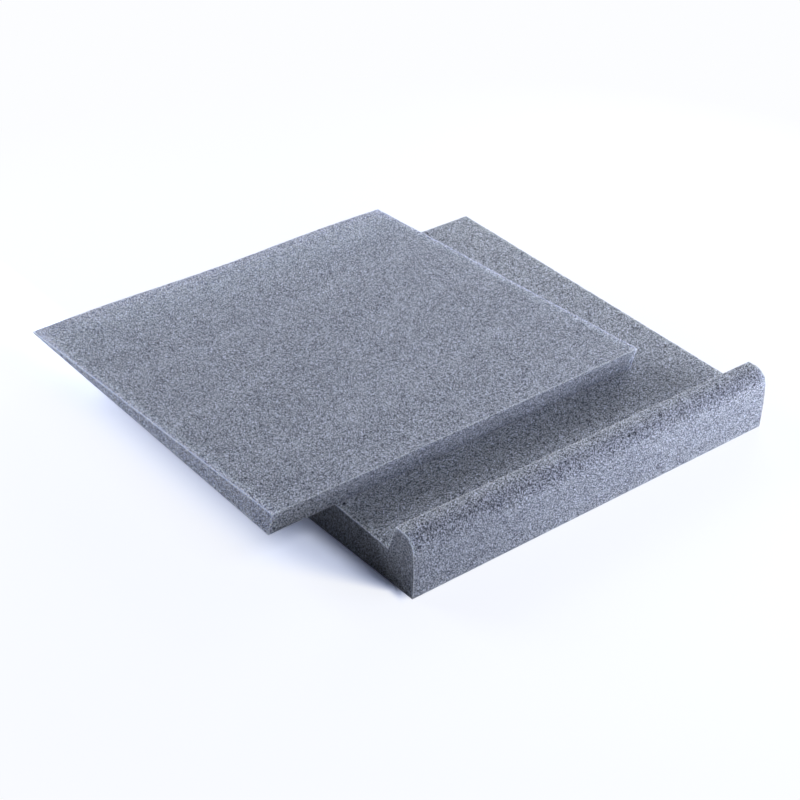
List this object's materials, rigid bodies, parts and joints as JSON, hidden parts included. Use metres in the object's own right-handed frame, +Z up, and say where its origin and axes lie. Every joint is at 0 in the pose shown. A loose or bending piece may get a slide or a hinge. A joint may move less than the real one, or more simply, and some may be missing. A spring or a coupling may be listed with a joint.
{
  "type": "speaker isolation pad",
  "caption": "Square foam pad with a rounded front lip and a sloped rest, and a loose foam wedge on the slope that levels the speaker.",
  "frame": {"origin": "centre of the base's underside", "axes": "+Z up, +X to the right along the front lip, +Y from the lip to the back"},
  "size_m": [0.3532, 0.35, 0.0442],
  "materials": {
    "foam_base": "open-cell polyurethane foam, charcoal grey with a cool tint, cut faces, matt",
    "foam_wedge": "open-cell polyurethane foam, charcoal grey with a cool tint, cut faces, matt"
  },
  "bodies": {
    "root": {"base_pad": "foam_base", "wedge_insert": "foam_wedge"}
  },
  "joints": []
}
